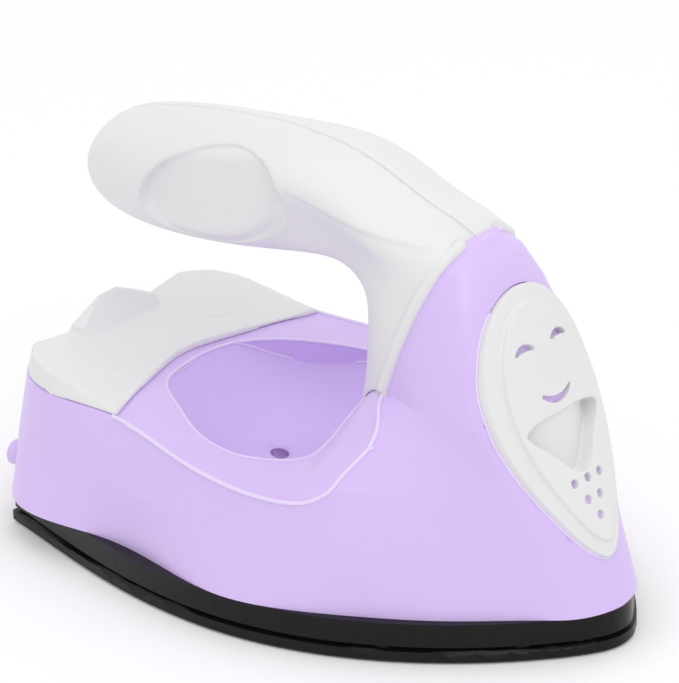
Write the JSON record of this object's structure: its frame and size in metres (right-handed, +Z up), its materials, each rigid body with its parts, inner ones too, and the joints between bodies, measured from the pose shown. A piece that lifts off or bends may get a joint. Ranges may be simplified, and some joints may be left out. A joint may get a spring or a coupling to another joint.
{
  "type": "mini craft iron",
  "caption": "Small hand iron for craft and heat transfer work, with a boat-shaped heated plate, a lavender housing with a finger dish and an arched handle.",
  "frame": {"origin": "centre of the soleplate's flat ironing face, halfway between its heel and its nose", "axes": "+X points to the nose, +Y to the iron's left side and +Z up through the handle"},
  "size_m": [0.1297, 0.0814, 0.0846],
  "materials": {
    "sole_coating": "black non-stick coating, satin",
    "shield_black": "black heat resistant plastic",
    "lavender_plastic": "smooth lavender moulding, semi-gloss",
    "white_plastic": "smooth white moulding, semi-gloss",
    "zinc_steel": "zinc plated",
    "element_steel": "heat tinted sheath",
    "brass": "plain",
    "ceramic": "unglazed ceramic",
    "mica": "pressed mica",
    "phenolic": "brown moulding compound",
    "cup_aluminium": "drawn cup",
    "bimetal": "thin bimetal sheet",
    "lamp": "clear red lens",
    "board_green": "solder mask",
    "resistor_body": "lacquered",
    "lead_insulation": "silicone sleeve"
  },
  "bodies": {
    "housing": {"soleplate": "sole_coating", "heat_shield": "shield_black", "body_shell": "lavender_plastic", "rear_cap": "white_plastic", "front_panel": "white_plastic", "handle_left": "white_plastic", "handle_right": "white_plastic", "heater_element": "element_steel", "heater_beads": "ceramic", "heater_pins": "zinc_steel", "insulation_sheet": "mica", "heater_clamp": "zinc_steel", "heater_clamp_screws": "zinc_steel", "thermostat_cup": "cup_aluminium", "bimetal_disc": "bimetal", "thermostat_guide": "ceramic", "thermostat_base": "phenolic", "fixed_contact": "brass", "thermostat_terminals": "brass", "thermostat_bracket": "zinc_steel", "thermostat_screws": "zinc_steel", "thermal_fuse": "cup_aluminium", "fuse_clip": "zinc_steel", "fuse_screw": "zinc_steel", "indicator_led": "lamp", "indicator_board": "board_green", "indicator_resistor": "resistor_body", "contact_carrier": "phenolic", "dock_contacts": "brass", "carrier_screws": "zinc_steel", "body_screws": "zinc_steel", "handle_clamp": "zinc_steel", "handle_screws": "zinc_steel", "lead_supply": "lead_insulation", "lead_heater": "lead_insulation"},
    "push_pin": {"push_pin": "ceramic"},
    "contact_arm": {"contact_arm": "bimetal"}
  },
  "joints": [
    {"name": "push_pin_slide", "type": "slide", "parent": "housing", "child": "push_pin", "axis": [0, 0, 1], "range_m": [0, 0.0003], "stiffness_N_per_m": 50},
    {"name": "contact_arm_hinge", "type": "hinge", "parent": "housing", "child": "contact_arm", "pos_m": [0.02855, 0, 0.012], "axis": [0, -1, 0], "range_deg": [0, 3.9]}
  ],
  "couplings": [
    {"joint": "contact_arm_hinge", "follows": "push_pin_slide", "rad_per_m": 222.2}
  ]
}
